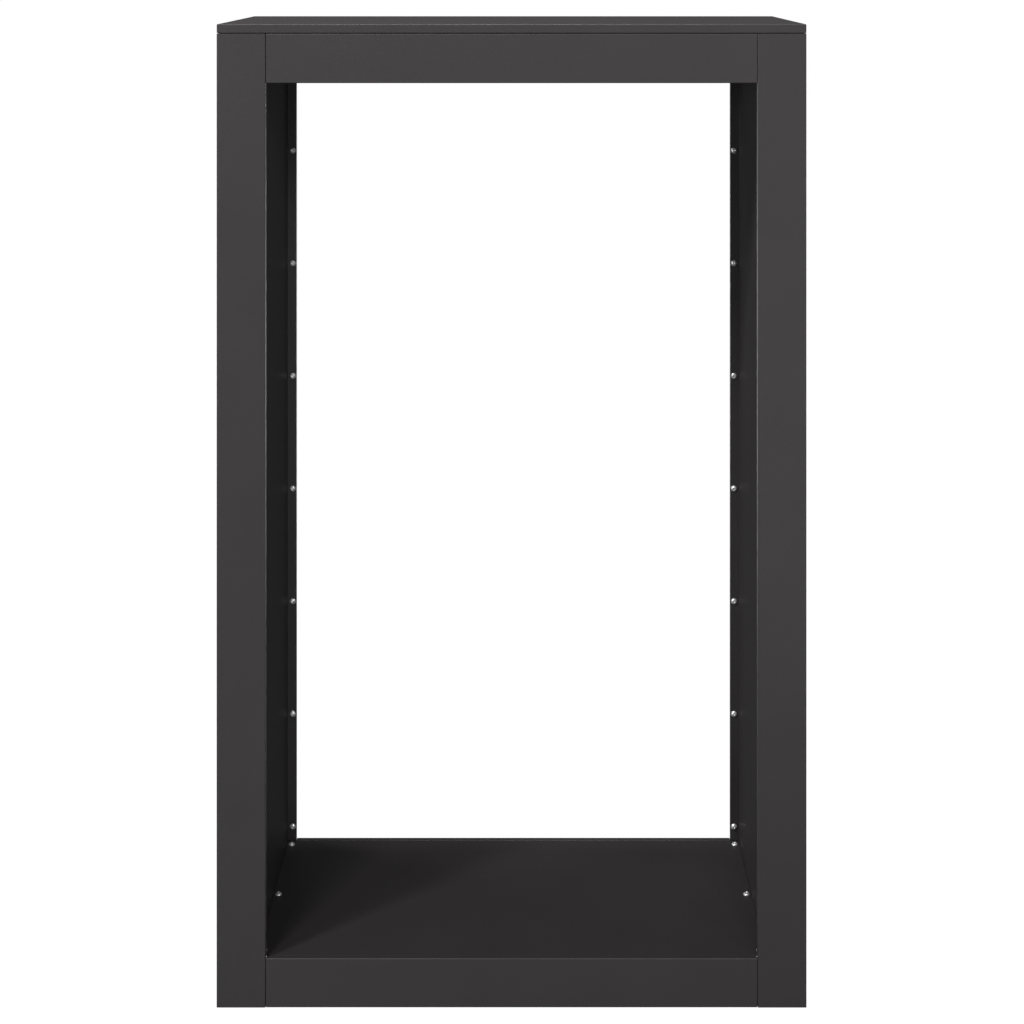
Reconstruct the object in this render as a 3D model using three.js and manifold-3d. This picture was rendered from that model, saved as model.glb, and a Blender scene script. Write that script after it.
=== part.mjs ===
// Free-standing firewood log rack in folded, powder-coated sheet steel.
//
// Four folded frame faces, 50 mm wide, surround one open bay front and back. Each side is a hollow wall: an outer panel
// wraps the side, the front face and the rear face of its two posts, and an inner panel closes the wall towards the bay.
// Behind every face the sheet returns and turns again into a narrow land; the inner panels are screwed to those lands,
// down to the shelf and up to channels under the top, so no screw shows on the outside of the rack.
//
// Frame: +Z up, +Y to the rear, +X to the right seen from the front. Origin on the floor under the middle of the rack.
// Units: millimetres.

import * as THREE from "three";
import { mergeVertices } from "three/addons/utils/BufferGeometryUtils.js";
import Module from "manifold-3d";

const wasm = await Module();
wasm.setup();

// ---------------------------------------------------------------------------------------------- driving dimensions
const WIDTH = 600; // over the outer panels
const DEPTH = 250; // over the front and rear faces
const HEIGHT = 1000; // floor to the top surface
const FACE = 50; // width of every frame face
const SHEET = 0.8; // cold-rolled sheet
const BEND = 0.8; // bend radius on the middle of the sheet
const SEAM = 0.4; // gap between neighbouring faces
const LAP = 0.2; // gap between two sheets that are screwed or welded together
const TOP_EDGE = 9.2; // height of the top panel's turned-down edge
const RETURN = 6; // depth of the return behind each face
const LAND = 11.8; // width of the screw land behind each post
const RAIL_LAND = 13; // height of the weld land on each rail
const BASE_FOLD = 10; // width of the folds at the floor and under the top
const INNER_WALL = 260; // centre plane to the visible face of an inner panel
const SHELF_TOP = 49.4; // floor to the shelf's surface
const INNER_TOP = 988; // floor to the top of an inner panel

const SCREW_X = 254.2; // centre plane to every row of screws
const SCREW_FIRST = 66.3; // floor to the lowest screw of a post
const SCREW_PITCH = 129.85; // pitch of the screws up a post
const SCREW_ROWS = 8;
const SCREW_END = 15.5; // front or rear face to the end screws of the shelf and the top
const HOLE_R = 2.2;
const COLLAR_R = 3.0; // drawn and tapped collar that a screw bites in
const COLLAR_H = 1.4;
const HEAD_R = 3.5; // M4 pan head
const HEAD_H = 2.4;
const SHANK_R = 1.9;
const SHANK_L = 5;

const half = { x: WIDTH / 2, y: DEPTH / 2 };
const t2 = SHEET / 2;
const POST_TOP = HEIGHT - TOP_EDGE - SEAM; // top of the posts and the top rails
const postEdge = half.x - FACE + SEAM / 2; // |x| of a post's edge at the bay
const railEnd = half.x - FACE - SEAM / 2; // |x| of a rail's end
const landY = half.y - RETURN + t2; // |y| of the middle of the land's sheet
const flangeY = half.y - RETURN - LAP - t2; // |y| of the middle of the sheet that lies on a land

// ---------------------------------------------------------------------------------------------- solids
// A closed three.js geometry as a manifold solid.
function solid(geometry) {
  const g = geometry.index ? geometry.toNonIndexed() : geometry.clone();
  const bare = new THREE.BufferGeometry().setAttribute("position", g.getAttribute("position"));
  const merged = mergeVertices(bare, 1e-4);
  return new wasm.Manifold(
    new wasm.Mesh({
      numProp: 3,
      vertProperties: merged.attributes.position.array,
      triVerts: new Uint32Array(merged.index.array),
    }),
  );
}

function box(x0, x1, y0, y1, z0, z1) {
  const g = new THREE.BoxGeometry(x1 - x0, y1 - y0, z1 - z0);
  g.translate((x0 + x1) / 2, (y0 + y1) / 2, (z0 + z1) / 2);
  return solid(g);
}

// The outline of a folded sheet, from the line along the middle of its thickness.
function foldedOutline(points, steps = 3) {
  const left = [];
  const right = [];
  const put = (p, n) => {
    left.push(new THREE.Vector2(p.x + n.x * t2, p.y + n.y * t2));
    right.push(new THREE.Vector2(p.x - n.x * t2, p.y - n.y * t2));
  };
  const pts = points.map(([x, y]) => new THREE.Vector2(x, y));
  const dir = (a, b) => b.clone().sub(a).normalize();
  const normal = (d) => new THREE.Vector2(-d.y, d.x);
  put(pts[0], normal(dir(pts[0], pts[1])));
  for (let i = 1; i < pts.length - 1; i++) {
    const d0 = dir(pts[i - 1], pts[i]);
    const d1 = dir(pts[i], pts[i + 1]);
    const turn = d0.x * d1.y - d0.y * d1.x; // +1 turns left, -1 turns right
    const start = pts[i].clone().addScaledVector(d0, -BEND);
    const centre = start.clone().addScaledVector(normal(d0), BEND * turn);
    for (let k = 0; k <= steps; k++) {
      const a = (turn * (Math.PI / 2) * k) / steps;
      const n = normal(d0).rotateAround(new THREE.Vector2(), a);
      put(centre.clone().addScaledVector(n, -BEND * turn), n);
    }
  }
  const last = pts.length - 1;
  put(pts[last], normal(dir(pts[last - 1], pts[last])));
  const outline = [...right, ...left.reverse()];
  return THREE.ShapeUtils.area(outline) < 0 ? outline.reverse() : outline;
}

// A folded sheet whose section lies in two axes and which runs from a to b along the third.
// plane "xy" runs along z, "yz" along x and "xz" along y.
function folded(plane, points, a, b, steps) {
  const g = new THREE.ExtrudeGeometry(new THREE.Shape(foldedOutline(points, steps)), {
    depth: b - a,
    bevelEnabled: false,
    steps: 1,
  });
  const m = new THREE.Matrix4();
  if (plane === "xy") m.makeTranslation(0, 0, a);
  if (plane === "yz") m.set(0, 0, 1, a, 1, 0, 0, 0, 0, 1, 0, 0, 0, 0, 0, 1);
  // (u, v, w) becomes (u, b - w, v), which keeps the faces pointing out
  if (plane === "xz") m.set(1, 0, 0, 0, 0, 0, -1, b, 0, 1, 0, 0, 0, 0, 0, 1);
  g.applyMatrix4(m);
  return solid(g);
}

// A round bar from one point along +x, +y, +z or the reverse.
function bar(radius, from, axis, length, sides = 12) {
  const g = new THREE.CylinderGeometry(radius, radius, length, sides);
  g.translate(0, length / 2, 0);
  const q = new THREE.Quaternion().setFromUnitVectors(
    new THREE.Vector3(0, 1, 0),
    new THREE.Vector3(...axis),
  );
  g.applyQuaternion(q);
  g.translate(...from);
  return solid(g);
}

const join = (...parts) => parts.reduce((a, b) => a.add(b));
const less = (body, ...cuts) => cuts.reduce((a, b) => a.subtract(b), body);

// The same solid on the other side of the centre plane, turned over so that it stays right side out.
const mirrored = (body) => body.mirror([1, 0, 0]);

// ---------------------------------------------------------------------------------------------- screws
const screwZ = Array.from({ length: SCREW_ROWS }, (_, i) => SCREW_FIRST + i * SCREW_PITCH);
const screwY = [-half.y + SCREW_END, 0, half.y - SCREW_END];
const CLEAR = 0.1; // under a head

// Head up, thread down, with the underside of the head at the origin.
function screwGeometry() {
  const profile = [
    [0, -SHANK_L],
    [1.3, -SHANK_L],
    [SHANK_R, -SHANK_L + 0.8],
    [SHANK_R, 0],
    [HEAD_R, 0],
    [HEAD_R, HEAD_H * 0.42],
    [HEAD_R * 0.72, HEAD_H * 0.88],
    [0, HEAD_H],
  ].map(([r, h]) => new THREE.Vector2(r, h));
  const g = new THREE.LatheGeometry(profile, 10);
  g.rotateX(Math.PI / 2); // the lathe's axis was +Y; the head now points to +Z
  return g;
}

// ---------------------------------------------------------------------------------------------- left-hand parts
// The right-hand ones are their mirror images.

function leftOuterPanel() {
  const w = -half.x + t2; // middle of the side's sheet
  const f = half.y - t2; // middle of the faces' sheet
  const e = -postEdge - t2; // middle of the return's sheet
  const tip = -postEdge - LAND;
  let body = folded(
    "xy",
    [
      [tip, -landY],
      [e, -landY],
      [e, -f],
      [w, -f],
      [w, f],
      [e, f],
      [e, landY],
      [tip, landY],
    ],
    0,
    POST_TOP,
  );
  // the side turns inwards at the floor and under the top, between the two posts' corners
  const run = half.y - 5;
  const clip = BEND + t2 + 0.01;
  body = less(
    body,
    box(-half.x - 1, -half.x + 1.5, -run, run, -1, clip),
    box(-half.x - 1, -half.x + 1.5, -run, run, POST_TOP - clip, POST_TOP + 1),
  );
  const foot = folded("xz", [[w, 6], [w, t2], [w + BASE_FOLD, t2]], -run + 0.5, run - 0.5);
  const head = folded(
    "xz",
    [[w, POST_TOP - 6], [w, POST_TOP - t2], [w + BASE_FOLD, POST_TOP - t2]],
    -run + 0.5,
    run - 0.5,
  );
  body = join(body, foot, head);
  for (const s of [-1, 1])
    for (const z of screwZ) {
      const at = [-SCREW_X, s * (landY - 0.1), z];
      body = body.add(bar(COLLAR_R, at, [0, s, 0], t2 + COLLAR_H + 0.1, 10));
    }
  for (const s of [-1, 1])
    for (const z of screwZ)
      body = body.subtract(bar(HOLE_R, [-SCREW_X, s * (landY - 1), z], [0, s, 0], 3.4, 10));
  return body;
}

function leftInnerPanel() {
  const w = -INNER_WALL - t2;
  const edge = -postEdge;
  const low = SHELF_TOP - SHEET - LAP - t2; // middle of the fold under the shelf
  const high = INNER_TOP - t2;
  const run = flangeY - 2.4;
  let body = join(
    folded("xy", [[edge, -flangeY], [w, -flangeY], [w, flangeY], [edge, flangeY]], SHELF_TOP + 0.6, INNER_TOP - 2),
    folded("xz", [[w, SHELF_TOP + 3], [w, low], [edge, low]], -run, run),
    folded("xz", [[w, INNER_TOP - 5], [w, high], [edge, high]], -run, run),
  );
  for (const y of screwY) body = body.add(bar(COLLAR_R, [-SCREW_X, y, low], [0, 0, -1], t2 + COLLAR_H, 10));
  for (const y of screwY) {
    body = body.subtract(bar(HOLE_R, [-SCREW_X, y, low + 1], [0, 0, -1], 4, 10));
    body = body.subtract(bar(HOLE_R, [-SCREW_X, y, high + 1], [0, 0, -1], 2, 10));
  }
  for (const s of [-1, 1])
    for (const z of screwZ)
      body = body.subtract(bar(HOLE_R, [-SCREW_X, s * (flangeY - 1), z], [0, s, 0], 2, 10));
  return body;
}

function leftTopChannel() {
  const low = INNER_TOP + LAP + t2;
  const high = HEIGHT - SHEET - LAP - t2;
  let body = folded(
    "xz",
    [
      [-273.4, high],
      [-264.6, high],
      [-264.6, low],
      [-245.4, low],
      [-245.4, high],
      [-236.6, high],
    ],
    -114,
    114,
  );
  for (const y of screwY) body = body.add(bar(COLLAR_R, [-SCREW_X, y, low], [0, 0, 1], t2 + COLLAR_H, 10));
  for (const y of screwY) body = body.subtract(bar(HOLE_R, [-SCREW_X, y, low - 1], [0, 0, 1], 4, 10));
  return body;
}

// ---------------------------------------------------------------------------------------------- middle parts
function rail(s, faceEnd, returnEnd, foldEnd, landEnd) {
  // s is -1 at the front and +1 at the rear; the z values go round the section from the wide fold to the land
  const f = half.y - t2;
  let body = folded(
    "yz",
    [
      [s * (half.y - BASE_FOLD), foldEnd],
      [s * f, foldEnd],
      [s * f, returnEnd],
      [s * landY, returnEnd],
      [s * landY, landEnd],
    ],
    -railEnd,
    railEnd,
  );
  // an end flange turned back beside the post's return, which closes the view through the seam
  const z0 = Math.min(foldEnd, returnEnd) + 0.05;
  const z1 = Math.max(foldEnd, returnEnd) - 0.05;
  const y0 = Math.min(s * (landY + 0.15), s * (f - 0.05));
  const y1 = Math.max(s * (landY + 0.15), s * (f - 0.05));
  body = join(body, box(-railEnd, -railEnd + SHEET, y0, y1, z0, z1));
  body = join(body, box(railEnd - SHEET, railEnd, y0, y1, z0, z1));
  return body;
}

const bottomRail = (s) => rail(s, 0, FACE - t2, t2, FACE - RAIL_LAND);
const topRail = (s) => rail(s, 0, HEIGHT - FACE - 10 + t2, POST_TOP - t2, HEIGHT - FACE - 10 + RAIL_LAND);

function shelfPanel() {
  const mid = SHELF_TOP - t2;
  let body = join(
    folded(
      "yz",
      [
        [-flangeY, FACE - RAIL_LAND],
        [-flangeY, mid],
        [flangeY, mid],
        [flangeY, FACE - RAIL_LAND],
      ],
      -(railEnd - 0.4),
      railEnd - 0.4,
    ),
    box(-INNER_WALL + SEAM, INNER_WALL - SEAM, -flangeY + BEND, flangeY - BEND, mid - t2, mid + t2),
  );
  for (const s of [-1, 1])
    for (const y of screwY) body = body.subtract(bar(HOLE_R, [s * SCREW_X, y, mid - 1], [0, 0, 1], 2, 10));
  return body;
}

function topPanel() {
  const low = HEIGHT - TOP_EDGE;
  const shell = less(
    box(-half.x, half.x, -half.y, half.y, low, HEIGHT),
    box(-half.x + SHEET, half.x - SHEET, -half.y + SHEET, half.y - SHEET, low + SHEET, HEIGHT - SHEET),
    box(-half.x + BASE_FOLD, half.x - BASE_FOLD, -half.y + BASE_FOLD, half.y - BASE_FOLD, low - 1, low + 2),
  );
  return shell;
}

// A hat-section stiffener along x.
function hat(crown, brim, halfWidth, brimWidth, run) {
  return folded(
    "yz",
    [
      [-halfWidth - brimWidth, brim],
      [-halfWidth, brim],
      [-halfWidth, crown],
      [halfWidth, crown],
      [halfWidth, brim],
      [halfWidth + brimWidth, brim],
    ],
    -run,
    run,
  );
}

// ---------------------------------------------------------------------------------------------- materials
const coat = (name) =>
  new THREE.MeshStandardMaterial({ name, color: 0x464445, roughness: 0.55, metalness: 0.1 });
const zinc = new THREE.MeshStandardMaterial({ name: "zinc", color: 0xc9cbce, roughness: 0.28, metalness: 1 });
const anthracite = coat("anthracite_powder_coat");

// ---------------------------------------------------------------------------------------------- assembly
const rack = new THREE.Group();

function geometryOf(body) {
  const m = body.getMesh();
  const n = m.numProp;
  const v = new Float32Array(m.numVert * 3);
  for (let i = 0; i < m.numVert; i++) v.set(m.vertProperties.subarray(i * n, i * n + 3), i * 3);
  const g = new THREE.BufferGeometry()
    .setAttribute("position", new THREE.BufferAttribute(v, 3))
    .setIndex(new THREE.BufferAttribute(new Uint32Array(m.triVerts), 1));
  g.computeVertexNormals();
  return g;
}

function addSheet(name, body) {
  const mesh = new THREE.Mesh(geometryOf(body), anthracite);
  mesh.name = name;
  rack.add(mesh);
}

const lo = leftOuterPanel();
const li = leftInnerPanel();
const lt = leftTopChannel();
addSheet("left_outer_panel", lo);
addSheet("right_outer_panel", mirrored(lo));
addSheet("left_inner_panel", li);
addSheet("right_inner_panel", mirrored(li));
addSheet("left_top_channel", lt);
addSheet("right_top_channel", mirrored(lt));
addSheet("bottom_front_rail", bottomRail(-1));
addSheet("bottom_rear_rail", bottomRail(1));
addSheet("top_front_rail", topRail(-1));
addSheet("top_rear_rail", topRail(1));
addSheet("shelf_panel", shelfPanel());
addSheet("shelf_stiffener", hat(28, SHELF_TOP - SHEET - LAP - t2, 20, 10, 244));
addSheet("top_panel", topPanel());
addSheet("top_stiffener", hat(992, HEIGHT - SHEET - LAP - t2, 15, 10, 230));

// Screws: place puts the head's underside at a point, with the head facing along +Y, -Y, +Z or -Z.
const screw = screwGeometry();
function addScrew(name, x, y, z, facing) {
  const mesh = new THREE.Mesh(screw, zinc);
  mesh.name = name;
  mesh.position.set(x, y, z);
  mesh.quaternion.setFromUnitVectors(new THREE.Vector3(0, 0, 1), new THREE.Vector3(...facing));
  rack.add(mesh);
}
const sides = [["left", -1], ["right", 1]];
const headY = flangeY - t2 - CLEAR; // underside of a head on a post's flange
for (const [side, sx] of sides) {
  screwZ.forEach((z, i) => {
    addScrew(`screw_${side}_front_${i + 1}`, sx * SCREW_X, -headY, z, [0, 1, 0]);
    addScrew(`screw_${side}_rear_${i + 1}`, sx * SCREW_X, headY, z, [0, -1, 0]);
  });
  screwY.forEach((y, i) => {
    addScrew(`screw_${side}_shelf_${i + 1}`, sx * SCREW_X, y, SHELF_TOP + CLEAR, [0, 0, 1]);
    addScrew(`screw_${side}_top_${i + 1}`, sx * SCREW_X, y, INNER_TOP - SHEET - CLEAR, [0, 0, -1]);
  });
}

export default rack;
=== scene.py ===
import math
import random

import bmesh
import bpy
from mathutils import Matrix, Quaternion, Vector


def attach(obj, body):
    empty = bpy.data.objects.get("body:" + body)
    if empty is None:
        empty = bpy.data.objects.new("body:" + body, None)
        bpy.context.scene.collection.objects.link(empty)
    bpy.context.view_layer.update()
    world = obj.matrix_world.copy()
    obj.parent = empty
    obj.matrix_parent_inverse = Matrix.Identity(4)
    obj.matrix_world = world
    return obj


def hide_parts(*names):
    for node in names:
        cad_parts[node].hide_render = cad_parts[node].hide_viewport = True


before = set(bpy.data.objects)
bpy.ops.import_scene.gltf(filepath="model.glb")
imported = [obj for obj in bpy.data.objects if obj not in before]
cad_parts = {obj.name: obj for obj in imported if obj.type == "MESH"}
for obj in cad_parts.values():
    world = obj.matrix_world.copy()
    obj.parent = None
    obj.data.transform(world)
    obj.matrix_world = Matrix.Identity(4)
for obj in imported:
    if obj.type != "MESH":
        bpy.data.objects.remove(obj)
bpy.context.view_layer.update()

# ------------------------------------------------------------------------------------------------ sizes, in mm
WIDTH, DEPTH, HEIGHT = 600.0, 250.0, 1000.0
FACE, SHEET, BEND = 50.0, 0.8, 0.5
SEAM, LAP, TOP_EDGE, RETURN, LAND = 0.4, 0.2, 9.2, 6.0, 11.8
RAIL_LAND, BASE_FOLD = 13.0, 10.0
INNER_WALL, SHELF_TOP, INNER_TOP = 260.0, 49.4, 988.0
SCREW_X, SCREW_FIRST, SCREW_PITCH, SCREW_ROWS, SCREW_END = 254.2, 66.3, 129.85, 8, 15.5
HOLE_R, COLLAR_R, COLLAR_H = 2.2, 3.0, 1.4
HEAD_R, HEAD_H, SHANK_R, SHANK_L, CLEAR = 3.5, 2.4, 1.9, 5.0, 0.1

HX, HY, T2 = WIDTH / 2, DEPTH / 2, SHEET / 2
POST_TOP = HEIGHT - TOP_EDGE - SEAM
POST_EDGE = HX - FACE + SEAM / 2
RAIL_END = HX - FACE - SEAM / 2
LAND_Y = HY - RETURN + T2
FLANGE_Y = HY - RETURN - LAP - T2
SCREW_Z = [SCREW_FIRST + i * SCREW_PITCH for i in range(SCREW_ROWS)]
SCREW_Y = [-HY + SCREW_END, 0.0, HY - SCREW_END]
MM = 0.001
STEPS = 8  # segments in a bend
EASE = 0.13  # easing of a cut edge under its coat


# ------------------------------------------------------------------------------------------------ folded sheet
def square(d):
    return Vector((-d.y, d.x))


def folded_outline(points, ends=(True, True)):
    """The section of a folded sheet, from the line along the middle of it. Its cut edges are eased where ends says so."""
    pts = [Vector(p) for p in points]
    left, right = [], []

    def put(p, n, h=T2):
        left.append(p + n * h)
        right.append(p - n * h)

    d = (pts[1] - pts[0]).normalized()
    if ends[0]:
        put(pts[0], square(d), T2 - EASE)
        put(pts[0] + d * EASE, square(d))
    else:
        put(pts[0], square(d))
    for i in range(1, len(pts) - 1):
        d0 = (pts[i] - pts[i - 1]).normalized()
        d1 = (pts[i + 1] - pts[i]).normalized()
        way = 1.0 if d0.x * d1.y - d0.y * d1.x > 0 else -1.0
        centre = pts[i] - d0 * BEND + square(d0) * BEND * way
        for k in range(STEPS + 1):
            a = way * math.pi / 2 * k / STEPS
            c, s = math.cos(a), math.sin(a)
            m = square(d0)
            n = Vector((m.x * c - m.y * s, m.x * s + m.y * c))
            put(centre - n * BEND * way, n)
    d = (pts[-1] - pts[-2]).normalized()
    if ends[1]:
        put(pts[-1] - d * EASE, square(d))
        put(pts[-1], square(d), T2 - EASE)
    else:
        put(pts[-1], square(d))
    outline = right + left[::-1]
    area = sum(a.x * b.y - b.x * a.y for a, b in zip(outline, outline[1:] + outline[:1]))
    return outline[::-1] if area < 0 else outline


def in_row(plane, u, v, w):
    """Plane xy runs along z, yz along x, and xz along y."""
    if plane == "xy":
        return Vector((u, v, w))
    return Vector((w, u, v)) if plane == "yz" else Vector((u, w, v))


def run_of(plane, points, a, b, ends=(True, True), eased=True):
    """A folded sheet from a to b along its bends, as a closed bmesh, with its end rims eased."""
    outline = folded_outline(points, ends)
    bm = bmesh.new()
    count = len(outline)
    inner = []
    for i, p in enumerate(outline):
        e0 = (p - outline[i - 1]).normalized()
        e1 = (outline[(i + 1) % count] - p).normalized()
        m = square(e0) + square(e1)
        inner.append(p + m * (EASE / max(m.length_squared / 2, 0.4)))
    if eased:
        levels = [(inner, a), (outline, a + EASE), (outline, b - EASE), (inner, b)]
    else:
        levels = [(outline, a), (outline, b)]
    rings = [[bm.verts.new(in_row(plane, p.x, p.y, w)) for p in ring] for ring, w in levels]
    for lo, hi in zip(rings, rings[1:]):
        for i in range(count):
            j = (i + 1) % count
            bm.faces.new((lo[i], lo[j], hi[j], hi[i]))
    side = count // 2
    for ring in (rings[0], rings[-1]):
        for i in range(side - 1):
            bm.faces.new((ring[i], ring[i + 1], ring[count - 2 - i], ring[count - 1 - i]))
    bmesh.ops.recalc_face_normals(bm, faces=bm.faces)
    return bm


def block(x0, x1, y0, y1, z0, z1):
    bm = bmesh.new()
    bmesh.ops.create_cube(bm, size=1.0)
    for v in bm.verts:
        v.co = Vector(
            (x0 + (v.co.x + 0.5) * (x1 - x0), y0 + (v.co.y + 0.5) * (y1 - y0), z0 + (v.co.z + 0.5) * (z1 - z0))
        )
    return bm


def turned(profile, at, axis, sides=32):
    """A body of revolution from (radius, height) points that start and end on its axis."""
    bm = bmesh.new()
    q = Vector((0, 0, 1)).rotation_difference(Vector(axis))
    rings = []
    for r, h in profile:
        if r < 1e-6:
            rings.append([bm.verts.new((0, 0, h))])
        else:
            rings.append(
                [
                    bm.verts.new((r * math.cos(2 * math.pi * k / sides), r * math.sin(2 * math.pi * k / sides), h))
                    for k in range(sides)
                ]
            )
    for lo, hi in zip(rings, rings[1:]):
        for k in range(sides):
            j = (k + 1) % sides
            if len(lo) == 1:
                bm.faces.new((lo[0], hi[j], hi[k]))
            elif len(hi) == 1:
                bm.faces.new((lo[k], lo[j], hi[0]))
            else:
                bm.faces.new((lo[k], lo[j], hi[j], hi[k]))
    bmesh.ops.recalc_face_normals(bm, faces=bm.faces)
    bmesh.ops.transform(bm, matrix=Matrix.Translation(Vector(at)) @ q.to_matrix().to_4x4(), verts=bm.verts)
    return bm


def collar(at, axis):
    """A drawn collar with a rounded mouth, standing on the sheet's middle."""
    top = T2 + COLLAR_H
    return turned(
        [(0, 0), (COLLAR_R + 0.12, 0), (COLLAR_R + 0.12, T2 + 0.02), (COLLAR_R + 0.03, T2 + 0.12), (COLLAR_R, T2 + 0.3),
         (COLLAR_R, top - 0.18), (COLLAR_R - 0.18, top), (0, top)],
        at, axis, 28)


def hole(at, axis, through, r=HOLE_R):
    return turned([(0, 0), (r, 0), (r, through), (0, through)], at, axis, 28)


# ------------------------------------------------------------------------------------------------ joining and cutting
def as_object(bm, name="scratch"):
    me = bpy.data.meshes.new(name)
    bm.to_mesh(me)
    bm.free()
    ob = bpy.data.objects.new(name, me)
    bpy.context.scene.collection.objects.link(ob)
    return ob


def gather(parts):
    bm = bmesh.new()
    for p in parts:
        me = bpy.data.meshes.new("scratch")
        p.to_mesh(me)
        p.free()
        bm.from_mesh(me)
        bpy.data.meshes.remove(me)
    return bm


def combine(base, others, how):
    """base with every one of others joined to it or cut from it. The others don't touch each other."""
    if not others:
        return base
    a, b = as_object(base), as_object(gather(others))
    mod = a.modifiers.new("cut", "BOOLEAN")
    mod.operation, mod.object, mod.solver = how, b, "EXACT"
    dg = bpy.context.evaluated_depsgraph_get()
    me = bpy.data.meshes.new_from_object(a.evaluated_get(dg))
    bm = bmesh.new()
    bm.from_mesh(me)
    for ob in (a, b):
        old = ob.data
        bpy.data.objects.remove(ob)
        bpy.data.meshes.remove(old)
    bpy.data.meshes.remove(me)
    return bm


def joined(base, *others):
    for o in others:
        base = combine(base, [o], "UNION")
    return base


def mirrored(bm):
    out = bm.copy()
    bmesh.ops.scale(out, vec=(-1, 1, 1), verts=out.verts)
    bmesh.ops.reverse_faces(out, faces=out.faces)
    return out


# ------------------------------------------------------------------------------------------------ left-hand panels
def left_outer():
    w, f, e = -HX + T2, HY - T2, -POST_EDGE - T2
    tip = -POST_EDGE - LAND
    body = run_of(
        "xy",
        [(tip, -LAND_Y), (e, -LAND_Y), (e, -f), (w, -f), (w, f), (e, f), (e, LAND_Y), (tip, LAND_Y)],
        0, POST_TOP,
    )
    run = HY - 5
    clip = BEND + T2 + 0.01
    body = combine(
        body,
        [block(-HX - 1, -HX + 1.5, -run, run, -1, clip), block(-HX - 1, -HX + 1.5, -run, run, POST_TOP - clip, POST_TOP + 1)],
        "DIFFERENCE",
    )
    foot = run_of("xz", [(w, 4.013), (w, T2), (w + BASE_FOLD, T2)], -run + 0.5, run - 0.5, (False, True))
    head = run_of(
        "xz", [(w, POST_TOP - 4.013), (w, POST_TOP - T2), (w + BASE_FOLD, POST_TOP - T2)], -run + 0.5, run - 0.5, (False, True)
    )
    body = joined(body, foot, head)
    collars = [collar((-SCREW_X, s * LAND_Y, z), (0, s, 0)) for s in (-1, 1) for z in SCREW_Z]
    body = combine(body, collars, "UNION")
    holes = [hole((-SCREW_X, s * (LAND_Y - 1), z), (0, s, 0), 3.4) for s in (-1, 1) for z in SCREW_Z]
    return combine(body, holes, "DIFFERENCE")


def left_inner():
    w, edge = -INNER_WALL - T2, -POST_EDGE
    low, high = SHELF_TOP - SHEET - LAP - T2, INNER_TOP - T2
    run = FLANGE_Y - 2.4
    body = run_of("xy", [(edge, -FLANGE_Y), (w, -FLANGE_Y), (w, FLANGE_Y), (edge, FLANGE_Y)], SHELF_TOP + 0.6, INNER_TOP - 2)
    shelf_fold = run_of("xz", [(w, SHELF_TOP + 3.013), (w, low), (edge, low)], -run, run, (False, True))
    top_fold = run_of("xz", [(w, INNER_TOP - 5.013), (w, high), (edge, high)], -run, run, (False, True))
    body = joined(body, shelf_fold, top_fold)
    body = combine(body, [collar((-SCREW_X, y, low), (0, 0, -1)) for y in SCREW_Y], "UNION")
    holes = [hole((-SCREW_X, y, low + 1), (0, 0, -1), 4) for y in SCREW_Y]
    holes += [hole((-SCREW_X, y, high + 1), (0, 0, -1), 2) for y in SCREW_Y]
    holes += [hole((-SCREW_X, s * (FLANGE_Y - 1), z), (0, s, 0), 2) for s in (-1, 1) for z in SCREW_Z]
    return combine(body, holes, "DIFFERENCE")


def left_channel():
    low, high = INNER_TOP + LAP + T2, HEIGHT - SHEET - LAP - T2
    body = run_of(
        "xz", [(-273.4, high), (-264.6, high), (-264.6, low), (-245.4, low), (-245.4, high), (-236.6, high)], -114, 114
    )
    body = combine(body, [collar((-SCREW_X, y, low), (0, 0, 1)) for y in SCREW_Y], "UNION")
    return combine(body, [hole((-SCREW_X, y, low - 1), (0, 0, 1), 4) for y in SCREW_Y], "DIFFERENCE")


# ------------------------------------------------------------------------------------------------ middle panels
def rail(s, fold_end, return_end, land_end):
    f = HY - T2
    body = run_of(
        "yz",
        [(s * (HY - BASE_FOLD), fold_end), (s * f, fold_end), (s * f, return_end), (s * LAND_Y, return_end), (s * LAND_Y, land_end)],
        -RAIL_END, RAIL_END,
    )
    # the end flanges, turned back beside the posts' returns
    ys = sorted((s * (LAND_Y - T2 + 0.05), s * (f + 0.05)))
    zs = sorted((fold_end, return_end))
    out = RAIL_END - 0.06
    ends = [block(-out, -RAIL_END + SHEET, *ys, *zs), block(RAIL_END - SHEET, out, *ys, *zs)]
    return joined(body, *ends)


def bottom_rail(s):
    return rail(s, T2, FACE - T2, FACE - RAIL_LAND)


def top_rail(s):
    return rail(s, POST_TOP - T2, HEIGHT - FACE - 10 + T2, HEIGHT - FACE - 10 + RAIL_LAND)


def shelf():
    mid = SHELF_TOP - T2
    reach = RAIL_END - 0.4
    body = run_of(
        "yz", [(-FLANGE_Y, FACE - RAIL_LAND), (-FLANGE_Y, mid), (FLANGE_Y, mid), (FLANGE_Y, FACE - RAIL_LAND)], -reach, reach
    )
    wide = block(-INNER_WALL + SEAM, INNER_WALL - SEAM, -FLANGE_Y + BEND, FLANGE_Y - BEND, mid - T2, mid + T2)
    body = joined(body, wide)
    holes = [hole((s * SCREW_X, y, mid - 1), (0, 0, 1), 2) for s in (-1, 1) for y in SCREW_Y]
    return combine(body, holes, "DIFFERENCE")


def hat(crown, brim, half, brim_width, run):
    return run_of(
        "yz",
        [(-half - brim_width, brim), (-half, brim), (-half, crown), (half, crown), (half, brim), (half + brim_width, brim)],
        -run, run,
    )


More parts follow.
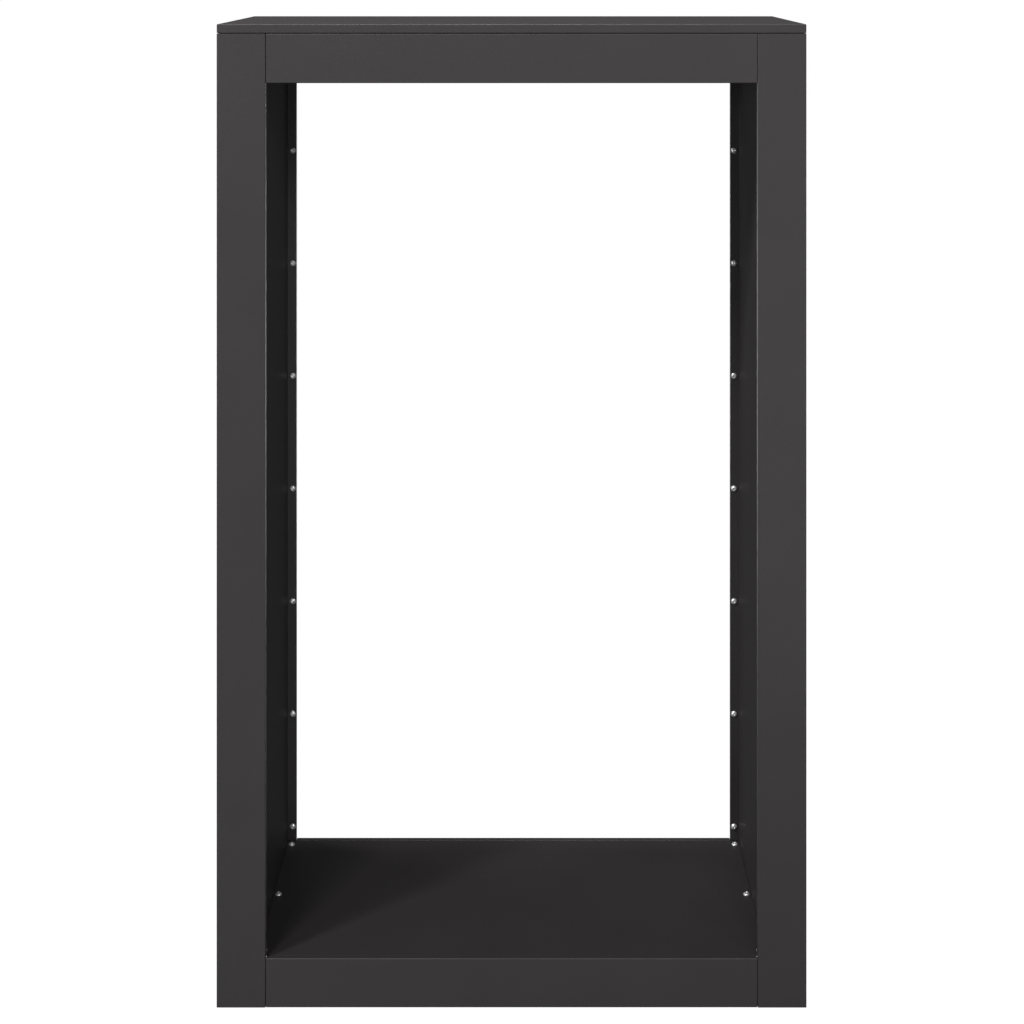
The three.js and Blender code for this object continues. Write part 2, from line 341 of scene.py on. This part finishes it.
def top():
    """A tray with its four sides folded down and in, its corners drawn round and its top edge bent."""
    bm = bmesh.new()
    outer_r, k = BEND + T2, STEPS
    low = HEIGHT - TOP_EDGE
    inset = lambda d: (HX - d, HY - d)
    section = []  # (distance in from the outline, height), from the inner fold's tip round the outside and back inside
    section.append((BASE_FOLD, low + EASE))
    section.append((BASE_FOLD - EASE, low))
    for i in range(k + 1):
        a = math.pi / 2 * i / k
        section.append((outer_r - outer_r * math.sin(a), low + outer_r - outer_r * math.cos(a)))
    for i in range(k + 1):
        a = math.pi / 2 * i / k
        section.append((outer_r - outer_r * math.cos(a), HEIGHT - outer_r + outer_r * math.sin(a)))
    outside = len(section)
    in_r = BEND - T2
    for i in range(k + 1):
        a = math.pi / 2 * (1 - i / k)
        section.append((SHEET + in_r - in_r * math.cos(a), HEIGHT - SHEET - in_r + in_r * math.sin(a)))
    for i in range(k + 1):
        a = math.pi / 2 * (1 - i / k)
        section.append((SHEET + in_r - in_r * math.sin(a), low + SHEET + in_r - in_r * math.cos(a)))
    section.append((BASE_FOLD - EASE, low + SHEET))
    section.append((BASE_FOLD, low + SHEET - EASE))

    corner = 1.2  # outer corner radius in plan
    segs = 6

    def ring(d, z):
        hx, hy = inset(d)
        r = max(corner - d, 0.25)
        out = []
        for cx, cy, a0 in ((hx - r, hy - r, 0), (-hx + r, hy - r, 90), (-hx + r, -hy + r, 180), (hx - r, -hy + r, 270)):
            for i in range(segs + 1):
                a = math.radians(a0 + 90 * i / segs)
                out.append(bm.verts.new((cx + r * math.cos(a), cy + r * math.sin(a), z)))
        return out

    rings = [ring(d, z) for d, z in section]
    n = len(rings[0])
    for i, (lo, hi) in enumerate(zip(rings, rings[1:])):
        if i == outside - 1:
            continue  # the plates of the top itself close here
        for j in range(n):
            m = (j + 1) % n
            bm.faces.new((lo[j], lo[m], hi[m], hi[j]))
    for j in range(n):  # the fold's cut edge
        m = (j + 1) % n
        bm.faces.new((rings[-1][j], rings[-1][m], rings[0][m], rings[0][j]))
    bm.faces.new(rings[outside - 1])
    bm.faces.new(rings[outside])
    bmesh.ops.recalc_face_normals(bm, faces=bm.faces)
    return bm


# ------------------------------------------------------------------------------------------------ screws
def screw():
    """A button-head screw with a hexagon socket and a rolled thread. Underside of the head at the origin, head to +Z."""
    r, h = HEAD_R, HEAD_H
    head = turned(
        [(0, -0.35), (SHANK_R - 0.05, -0.35), (SHANK_R - 0.05, 0.0), (r - 0.16, 0.0), (r - 0.04, 0.05), (r, 0.17), (r, 0.50),
         (r * 0.985, 0.72), (r * 0.945, 1.02), (r * 0.885, 1.32), (r * 0.81, 1.60), (r * 0.72, 1.86), (r * 0.62, 2.08),
         (r * 0.535, 2.24), (r * 0.495, 2.33), (r * 0.47, h - 0.03), (r * 0.445, h), (0, h)],
        (0, 0, 0), (0, 0, 1), 48)
    socket = turned(
        [(0, h - 1.75), (1.38, h - 1.25), (1.38, h - 0.12), (1.62, h + 0.12), (0, h + 0.12)], (0, 0, 0), (0, 0, 1), 6)
    head = combine(head, [socket], "DIFFERENCE")

    # the thread: one helix, from just under the head to a chamfered point
    sides, pitch, depth = 20, 0.7, 0.26
    rows = int(round((SHANK_L - 0.2) / pitch * 6))
    shank = bmesh.new()
    rings = []
    for i in range(rows + 1):
        z = -0.2 - (SHANK_L - 0.2) * i / rows
        fade = min(1.0, (z + SHANK_L) / 0.9 + 0.02)
        ring = []
        for k in range(sides):
            t = (z / pitch - k / sides) % 1.0
            crest = 1.0 - abs(2 * t - 1.0)
            crest = min(1.0, max(0.0, (crest - 0.12) / 0.72))
            rad = (SHANK_R - depth + depth * crest) * (0.74 + 0.26 * fade)
            a = 2 * math.pi * k / sides
            ring.append(shank.verts.new((rad * math.cos(a), rad * math.sin(a), z)))
        rings.append(ring)
    for lo, hi in zip(rings, rings[1:]):
        for k in range(sides):
            j = (k + 1) % sides
            shank.faces.new((lo[k], lo[j], hi[j], hi[k]))
    shank.faces.new(rings[0])
    shank.faces.new(rings[-1])
    bmesh.ops.recalc_face_normals(shank, faces=shank.faces)
    return joined(head, shank)


# ------------------------------------------------------------------------------------------------ materials
def node(tree, kind, x=0, y=0, **inputs):
    n = tree.nodes.new(kind)
    n.location = (x, y)
    for key, value in inputs.items():
        n.inputs[key.replace("_", " ")].default_value = value
    return n


def noise(tree, coords, scale, detail=2.0, rough=0.5):
    n = node(tree, "ShaderNodeTexNoise", Scale=scale, Detail=detail, Roughness=rough)
    tree.links.new(coords, n.inputs["Vector"])
    return n.outputs["Fac"]


def span(tree, value, lo, hi, from_lo=0.3, from_hi=0.7):
    n = node(tree, "ShaderNodeMapRange")
    n.inputs["From Min"].default_value, n.inputs["From Max"].default_value = from_lo, from_hi
    n.inputs["To Min"].default_value, n.inputs["To Max"].default_value = lo, hi
    tree.links.new(value, n.inputs["Value"])
    return n.outputs["Result"]


def blend_colour(tree, fac, a, b):
    n = tree.nodes.new("ShaderNodeMix")
    n.data_type = "RGBA"
    tree.links.new(fac, n.inputs["Factor"])
    for socket, value in ((n.inputs[6], a), (n.inputs[7], b)):
        if isinstance(value, tuple):
            socket.default_value = (*value, 1.0)
        else:
            tree.links.new(value, socket)
    return n.outputs[2]


def bumps(tree, layers):
    """Bump nodes in a row, from (height socket, strength, distance) triples."""
    normal = None
    for height, strength, distance in layers:
        n = node(tree, "ShaderNodeBump", Strength=strength, Distance=distance)
        tree.links.new(height, n.inputs["Height"])
        if normal is not None:
            tree.links.new(normal, n.inputs["Normal"])
        normal = n.outputs["Normal"]
    return normal


def powder_coat(name, tone):
    """Anthracite powder coat: a fine orange peel, a finer grain in it, and a faint unevenness of tone and sheen."""
    mat = bpy.data.materials.new(name)
    mat.use_nodes = True
    t = mat.node_tree
    t.nodes.clear()
    out = node(t, "ShaderNodeOutputMaterial", 900)
    bsdf = node(t, "ShaderNodeBsdfPrincipled", 600)
    t.links.new(bsdf.outputs[0], out.inputs["Surface"])
    co = node(t, "ShaderNodeTexCoord", -900).outputs["Object"]
    cloud = noise(t, co, 9.0, 3.0, 0.55)  # over a hand's width
    grain = noise(t, co, 2600.0, 2.0, 0.6)  # single grains of powder
    peel = noise(t, co, 620.0, 2.0, 0.5)  # orange peel
    dark = tuple(c * 0.94 for c in tone)
    light = tuple(c * 1.06 for c in tone)
    base = blend_colour(t, span(t, cloud, 0.0, 1.0), dark, light)
    fleck = blend_colour(t, span(t, grain, 0.0, 1.0, 0.62, 0.80), base, tuple(c * 1.5 + 0.003 for c in tone))
    t.links.new(fleck, bsdf.inputs["Base Color"])
    t.links.new(span(t, peel, 0.46, 0.54), bsdf.inputs["Roughness"])
    bsdf.inputs["Specular IOR Level"].default_value = COAT_SPECULAR
    t.links.new(bumps(t, [(peel, 0.16, 0.0004), (grain, 0.22, 0.00006)]), bsdf.inputs["Normal"])
    return mat


def zinc(name):
    """Bright zinc plate: grey-blue metal with a light haze and fine turning marks."""
    mat = bpy.data.materials.new(name)
    mat.use_nodes = True
    t = mat.node_tree
    t.nodes.clear()
    out = node(t, "ShaderNodeOutputMaterial", 900)
    bsdf = node(t, "ShaderNodeBsdfPrincipled", 600)
    t.links.new(bsdf.outputs[0], out.inputs["Surface"])
    co = node(t, "ShaderNodeTexCoord", -900).outputs["Object"]
    haze = noise(t, co, 900.0, 3.0, 0.6)
    fine = noise(t, co, 6000.0, 2.0, 0.5)
    t.links.new(blend_colour(t, span(t, haze, 0.0, 1.0), (0.74, 0.74, 0.75), (0.86, 0.86, 0.87)), bsdf.inputs["Base Color"])
    bsdf.inputs["Metallic"].default_value = 0.6
    t.links.new(span(t, haze, 0.24, 0.38), bsdf.inputs["Roughness"])
    t.links.new(bumps(t, [(fine, 0.12, 0.00003)]), bsdf.inputs["Normal"])
    return mat


def white(name):
    """The pale floor, even and without shine."""
    mat = bpy.data.materials.new(name)
    mat.use_nodes = True
    bsdf = mat.node_tree.nodes["Principled BSDF"]
    bsdf.inputs["Base Color"].default_value = (0.04, 0.04, 0.04, 1)
    bsdf.inputs["Roughness"].default_value = 1.0
    bsdf.inputs["Specular IOR Level"].default_value = 0.0
    bsdf.inputs["Emission Color"].default_value = (1, 1, 1, 1)
    bsdf.inputs["Emission Strength"].default_value = 1.0
    return mat


COAT_SPECULAR = 0.50
TONE = (0.0298, 0.0268, 0.0283)
coat = powder_coat("anthracite_powder_coat", TONE)
plated = zinc("bright_zinc")


# ------------------------------------------------------------------------------------------------ pieces
def piece(name, bm, material, cad_node, sharp=55.0):
    bmesh.ops.remove_doubles(bm, verts=bm.verts, dist=1e-4)
    bmesh.ops.dissolve_degenerate(bm, edges=bm.edges, dist=1e-4)
    bmesh.ops.scale(bm, vec=(MM, MM, MM), verts=bm.verts)
    for f in bm.faces:
        f.smooth = True
    limit = math.radians(sharp)
    for e in bm.edges:
        e.smooth = not (len(e.link_faces) == 2 and e.calc_face_angle(0.0) > limit)
    ob = as_object(bm, name)
    ob.data.name = name
    ob.data.materials.append(material)
    mod = ob.modifiers.new("normals", "WEIGHTED_NORMAL")
    mod.keep_sharp = True
    mod.mode = "FACE_AREA"
    mod.weight = 100
    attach(ob, "root")
    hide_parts(cad_node)
    return ob


def sheet_piece(cad_node, bm):
    return piece(cad_node + "_sheet", bm, coat, cad_node)


for part, make in (("outer_panel", left_outer), ("inner_panel", left_inner), ("top_channel", left_channel)):
    made = make()
    other = mirrored(made)
    sheet_piece("left_" + part, made)
    sheet_piece("right_" + part, other)
sheet_piece("bottom_front_rail", bottom_rail(-1))
sheet_piece("bottom_rear_rail", bottom_rail(1))
sheet_piece("top_front_rail", top_rail(-1))
sheet_piece("top_rear_rail", top_rail(1))
sheet_piece("shelf_panel", shelf())
sheet_piece("shelf_stiffener", hat(28, SHELF_TOP - SHEET - LAP - T2, 20, 10, 244))
sheet_piece("top_panel", top())
sheet_piece("top_stiffener", hat(992, HEIGHT - SHEET - LAP - T2, 15, 10, 230))

one_screw = screw()
dice = random.Random(7)


def place_screw(cad_node, at, facing):
    bm = one_screw.copy()
    spin = Quaternion((0, 0, 1), dice.uniform(0, math.pi / 2))
    q = Vector((0, 0, 1)).rotation_difference(Vector(facing)) @ spin
    bmesh.ops.transform(bm, matrix=Matrix.Translation(Vector(at)) @ q.to_matrix().to_4x4(), verts=bm.verts)
    piece(cad_node + "_button_head", bm, plated, cad_node, sharp=38.0)


head_y = FLANGE_Y - T2 - CLEAR
for side, sx in (("left", -1), ("right", 1)):
    for i, z in enumerate(SCREW_Z, 1):
        place_screw(f"screw_{side}_front_{i}", (sx * SCREW_X, -head_y, z), (0, 1, 0))
        place_screw(f"screw_{side}_rear_{i}", (sx * SCREW_X, head_y, z), (0, -1, 0))
    for i, y in enumerate(SCREW_Y, 1):
        place_screw(f"screw_{side}_shelf_{i}", (sx * SCREW_X, y, SHELF_TOP + CLEAR), (0, 0, 1))
        place_screw(f"screw_{side}_top_{i}", (sx * SCREW_X, y, INNER_TOP - SHEET - CLEAR), (0, 0, -1))
one_screw.free()

# ------------------------------------------------------------------------------------------------ stage
def disc(name, radius, z):
    bm = bmesh.new()
    bmesh.ops.create_circle(bm, cap_ends=True, radius=radius, segments=96)
    bmesh.ops.translate(bm, vec=(0, 0, z), verts=bm.verts)
    return as_object(bm, name)


floor = disc("floor", 260.0, 0.0)
floor.data.materials.append(white("pale_floor"))
floor.visible_diffuse = False  # the floor is only seen: it throws no light back on the rack and stops none
floor.visible_glossy = False
floor.visible_shadow = False

world = bpy.data.worlds.new("studio")
bpy.context.scene.world = world
world.use_nodes = True
world.node_tree.nodes["Background"].inputs["Color"].default_value = (1, 1, 1, 1)
world.node_tree.nodes["Background"].inputs["Strength"].default_value = 0.061


def softbox(name, azimuth, elevation, distance, size, watts):
    """A round softbox aimed at the rack's middle. Azimuth 0 is in front of it, and positive is to its right."""
    a, e = math.radians(azimuth), math.radians(elevation)
    aim = Vector((0, 0, 0.5))
    data = bpy.data.lights.new(name, "AREA")
    data.shape, data.size, data.energy = "DISK", size, watts
    ob = bpy.data.objects.new(name, data)
    bpy.context.scene.collection.objects.link(ob)
    ob.location = aim + distance * Vector((math.cos(e) * math.sin(a), -math.cos(e) * math.cos(a), math.sin(e)))
    ob.rotation_mode = "QUATERNION"
    ob.rotation_quaternion = (aim - ob.location).to_track_quat("-Z", "Y")
    return ob


softbox("key", -50, 47, 3.2, 0.3, 32.2)
softbox("key_near", -28, 50, 3.2, 0.3, 18.3)
softbox("key_high", -22, 58, 3.2, 0.3, 12.9)
softbox("front_fill", 10, 36, 3.4, 1.0, 23.8)
softbox("right_fill", 35, 22, 3.4, 1.0, 10.3)
softbox("left_fill", -45, 10, 3.6, 0.9, 33.8)
softbox("side_fill", -110, 40, 3.6, 0.9, 20.2)
softbox("low_right", 15, -12, 3.2, 0.8, 11.5)
softbox("low_left", -17, -28, 3.2, 0.8, 5.2)
softbox("overhead", 180, 87.6, 2.9, 0.2, 41.3)

# softer boxes for the rear and the right-hand side, which light the outside of the rack only
outside = bpy.data.collections.new("outside")
for name in ("left_outer_panel", "right_outer_panel", "bottom_rear_rail", "top_rear_rail", "top_panel"):
    outside.objects.link(bpy.data.objects[name + "_sheet"])
for box in (
    softbox("rear_right", 148, -8, 3.4, 1.0, 30.0),
    softbox("rear_left", -148, -8, 3.4, 1.0, 30.0),
    softbox("right_side", 97, -5, 3.4, 1.0, 25.0),
):
    box.light_linking.receiver_collection = outside

# ------------------------------------------------------------------------------------------------ camera
camera_data = bpy.data.cameras.new("camera")
camera = bpy.data.objects.new("camera", camera_data)
bpy.context.scene.collection.objects.link(camera)
camera.location = (0.0152, -1.943, 1.0673)
camera.rotation_euler = (math.radians(90), 0, 0)
camera_data.sensor_width = 36.0
camera_data.lens = 1788.0 / 1024.0 * 36.0
camera_data.shift_x = -(526.5 - 512.0) / 1024.0
camera_data.shift_y = -(512.0 + 42.0) / 1024.0
camera_data.clip_start, camera_data.clip_end = 0.05, 1000.0
bpy.context.scene.camera = camera

bpy.context.scene.view_settings.view_transform = "Standard"
bpy.context.scene.view_settings.look = "None"
